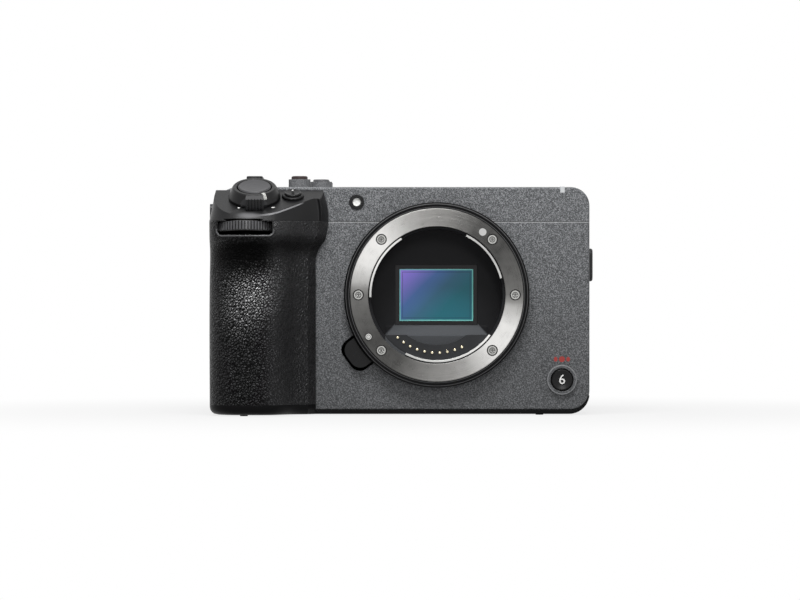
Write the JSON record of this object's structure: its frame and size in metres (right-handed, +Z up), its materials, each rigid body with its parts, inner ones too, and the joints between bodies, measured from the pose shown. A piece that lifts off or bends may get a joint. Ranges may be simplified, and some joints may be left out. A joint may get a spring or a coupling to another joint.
{
  "type": "cinema camera body",
  "caption": "Compact cinema camera body without a lens: grey metal body, rubber grip, open bayonet mount with the sensor behind it, swing-out rear screen.",
  "frame": {"origin": "centre of the tripod socket's mouth, on the base plane, straight below the lens axis", "axes": "+Z up, the lens looks along -Y, +X towards the port side (the right of a front view), grip at -X"},
  "size_m": [0.1297, 0.0847, 0.0808],
  "materials": {
    "cover_paint": "fine speckled grey paint on die-cast magnesium alloy, satin",
    "base_paint": "satin black",
    "grip_rubber": "pebble grained rubber",
    "hood_plastic": "fine matt black moulding",
    "inner_plastic": "flat black moulding",
    "mount_steel": "turned and brushed",
    "mount_black": "black anodised, satin",
    "dark_steel": "satin dark nickel",
    "bush_steel": "plain nickel",
    "white_mark": "white enamel",
    "gold": "gold plated",
    "frame_alloy": "plain cast alloy",
    "board_green": "solder mask",
    "button_black": "semi gloss black",
    "dial_black": "knurled satin black",
    "record_red": "red cap",
    "screen_plastic": "satin black",
    "screen_glass": "dark glass",
    "sensor_glass": "coated cover glass over silicon",
    "lamp_clear": "clear window in a black ring",
    "battery_grey": "moulded case",
    "card_blue": "moulded case",
    "port_black": "connector block"
  },
  "bodies": {
    "camera_body": {"accessory_bushes": "dark_steel", "accessory_shoe": "dark_steel", "base_plate": "base_paint", "battery_pack": "battery_grey", "button_collars": "hood_plastic", "card_reader": "dark_steel", "contact_block": "inner_plastic", "contact_pins": "gold", "cover_screws": "dark_steel", "fan_housing": "inner_plastic", "front_cover": "cover_paint", "grip_core": "inner_plastic", "grip_hood": "hood_plastic", "grip_skin": "grip_rubber", "heat_sink": "frame_alloy", "lamp_windows": "lamp_clear", "lens_mount_ring": "mount_steel", "light_box": "inner_plastic", "main_board": "board_green", "mount_base_ring": "mount_black", "mount_index_dot": "white_mark", "mount_screws": "mount_steel", "port_sockets": "port_black", "rear_cover": "cover_paint", "stabilizer_base": "frame_alloy", "strap_lugs": "dark_steel", "top_cover": "cover_paint", "tripod_bush": "bush_steel"},
    "zoom_lever": {"zoom_lever": "dial_black"},
    "shutter_button": {"shutter_button": "button_black"},
    "front_dial": {"front_dial": "dial_black"},
    "rear_dial": {"rear_dial": "dial_black"},
    "power_lever": {"power_lever": "hood_plastic"},
    "iso_button": {"iso_button": "button_black"},
    "iris_button": {"iris_button": "button_black"},
    "white_balance_button": {"white_balance_button": "button_black"},
    "top_rec_button": {"top_rec_button": "record_red"},
    "front_rec_button": {"front_rec_button": "button_black"},
    "lens_release_button": {"lens_release_button": "button_black"},
    "lock_pin": {"lock_pin": "mount_steel"},
    "screen": {"hinge_arm": "hood_plastic", "screen_shell": "screen_plastic", "screen_glass": "screen_glass"},
    "joystick_gimbal": {"joystick_gimbal": "inner_plastic"},
    "joystick_cap": {"joystick_cap": "dial_black"},
    "control_wheel": {"control_wheel": "dial_black"},
    "wheel_button": {"wheel_button": "button_black"},
    "menu_button": {"menu_button": "button_black"},
    "playback_button": {"playback_button": "button_black"},
    "delete_button": {"delete_button": "button_black"},
    "card_door": {"card_door": "hood_plastic"},
    "memory_card": {"memory_card": "card_blue"},
    "battery_door": {"battery_door": "base_paint"},
    "battery_latch": {"battery_latch": "button_black"},
    "audio_port_door": {"audio_port_door": "grip_rubber"},
    "data_port_door": {"data_port_door": "grip_rubber"},
    "fan_rotor": {"fan_rotor": "inner_plastic"},
    "stage_frame": {"stage_frame": "frame_alloy"},
    "sensor_carriage": {"sensor_carriage": "frame_alloy", "image_sensor": "sensor_glass"}
  },
  "joints": [
    {"name": "zoom_turn", "type": "hinge", "parent": "camera_body", "child": "zoom_lever", "pos_m": [-0.061, -0.0279, 0.07243], "axis": [0, -0.4305, 0.9026], "range_deg": [-20, 20], "stiffness_Nm_per_rad": 0.03},
    {"name": "shutter_press", "type": "slide", "parent": "camera_body", "child": "shutter_button", "axis": [0, 0.4305, -0.9026], "range_m": [0, 0.001], "stiffness_N_per_m": 600},
    {"name": "front_dial_turn", "type": "hinge", "parent": "camera_body", "child": "front_dial", "pos_m": [-0.0637, -0.0324, 0.0621], "axis": [0, 0.1045, 0.9945], "continuous": true},
    {"name": "rear_dial_turn", "type": "hinge", "parent": "camera_body", "child": "rear_dial", "pos_m": [-0.06, 0.0264, 0.0705], "axis": [0, 0, 1], "continuous": true},
    {"name": "power_turn", "type": "hinge", "parent": "camera_body", "child": "power_lever", "pos_m": [-0.0618, 0.001, 0.078], "axis": [0, 0, 1], "range_deg": [0, 40]},
    {"name": "iso_press", "type": "slide", "parent": "camera_body", "child": "iso_button", "axis": [0, 0.4305, -0.9026], "range_m": [0, 0.0006], "stiffness_N_per_m": 600},
    {"name": "iris_press", "type": "slide", "parent": "camera_body", "child": "iris_button", "axis": [0, 0, -1], "range_m": [0, 0.0006], "stiffness_N_per_m": 600},
    {"name": "white_balance_press", "type": "slide", "parent": "camera_body", "child": "white_balance_button", "axis": [0, 0, -1], "range_m": [0, 0.0006], "stiffness_N_per_m": 600},
    {"name": "top_rec_press", "type": "slide", "parent": "camera_body", "child": "top_rec_button", "axis": [0, 0, -1], "range_m": [0, 0.0006], "stiffness_N_per_m": 600},
    {"name": "front_rec_press", "type": "slide", "parent": "camera_body", "child": "front_rec_button", "axis": [0, 1, 0], "range_m": [0, 0.0006], "stiffness_N_per_m": 600},
    {"name": "lens_release_press", "type": "slide", "parent": "camera_body", "child": "lens_release_button", "axis": [0, 1, 0], "range_m": [0, 0.002], "stiffness_N_per_m": 600},
    {"name": "lock_pin_slide", "type": "slide", "parent": "camera_body", "child": "lock_pin", "axis": [0, 1, 0], "range_m": [0, 0.002]},
    {"name": "screen_swing", "type": "hinge", "parent": "camera_body", "child": "screen", "pos_m": [0.0485, 0.0315, 0.0345], "axis": [0, 0, -1], "range_deg": [0, 176]},
    {"name": "joystick_tilt_up", "type": "hinge", "parent": "camera_body", "child": "joystick_gimbal", "pos_m": [-0.042, 0.03, 0.053], "axis": [1, 0, 0], "range_deg": [-8, 8], "stiffness_Nm_per_rad": 0.01},
    {"name": "joystick_tilt_side", "type": "hinge", "parent": "joystick_gimbal", "child": "joystick_cap", "pos_m": [-0.042, 0.03, 0.053], "axis": [0, 0, 1], "range_deg": [-8, 8], "stiffness_Nm_per_rad": 0.01},
    {"name": "control_wheel_turn", "type": "hinge", "parent": "camera_body", "child": "control_wheel", "pos_m": [-0.05, 0.033, 0.028], "axis": [0, 1, 0], "continuous": true},
    {"name": "wheel_press", "type": "slide", "parent": "camera_body", "child": "wheel_button", "axis": [0, -1, 0], "range_m": [0, 0.0005], "stiffness_N_per_m": 600},
    {"name": "menu_press", "type": "slide", "parent": "camera_body", "child": "menu_button", "axis": [0, -1, 0], "range_m": [0, 0.0005], "stiffness_N_per_m": 600},
    {"name": "playback_press", "type": "slide", "parent": "camera_body", "child": "playback_button", "axis": [0, -1, 0], "range_m": [0, 0.0005], "stiffness_N_per_m": 600},
    {"name": "delete_press", "type": "slide", "parent": "camera_body", "child": "delete_button", "axis": [0, -1, 0], "range_m": [0, 0.0005], "stiffness_N_per_m": 600},
    {"name": "card_door_swing", "type": "hinge", "parent": "camera_body", "child": "card_door", "pos_m": [-0.0747, 0.0282, 0.035], "axis": [0, 0, -1], "range_deg": [0, 100]},
    {"name": "memory_card_eject", "type": "slide", "parent": "camera_body", "child": "memory_card", "axis": [-1, 0, 0], "range_m": [0, 0.0025]},
    {"name": "battery_door_swing", "type": "hinge", "parent": "camera_body", "child": "battery_door", "pos_m": [-0.0482, -0.01, 0.0008], "axis": [0, -1, 0], "range_deg": [0, 95]},
    {"name": "battery_latch_slide", "type": "slide", "parent": "battery_door", "child": "battery_latch", "axis": [1, 0, 0], "range_m": [0, 0.0024], "stiffness_N_per_m": 200},
    {"name": "audio_door_swing", "type": "hinge", "parent": "camera_body", "child": "audio_port_door", "pos_m": [0.0505, -0.0017, 0.025], "axis": [0, 0, -1], "range_deg": [0, 100]},
    {"name": "data_door_swing", "type": "hinge", "parent": "camera_body", "child": "data_port_door", "pos_m": [0.0505, 0.0237, 0.035], "axis": [0, 0, 1], "range_deg": [0, 100]},
    {"name": "fan_spin", "type": "hinge", "parent": "camera_body", "child": "fan_rotor", "pos_m": [0.024, 0.0065, 0.032], "axis": [0, 1, 0], "continuous": true},
    {"name": "stage_shift_x", "type": "slide", "parent": "camera_body", "child": "stage_frame", "axis": [1, 0, 0], "range_m": [-0.0015, 0.0015], "stiffness_N_per_m": 2500},
    {"name": "stage_shift_z", "type": "slide", "parent": "stage_frame", "child": "sensor_carriage", "axis": [0, 0, 1], "range_m": [-0.0015, 0.0015], "stiffness_N_per_m": 2500}
  ],
  "couplings": [
    {"joint": "lock_pin_slide", "follows": "lens_release_press", "ratio": 1}
  ]
}
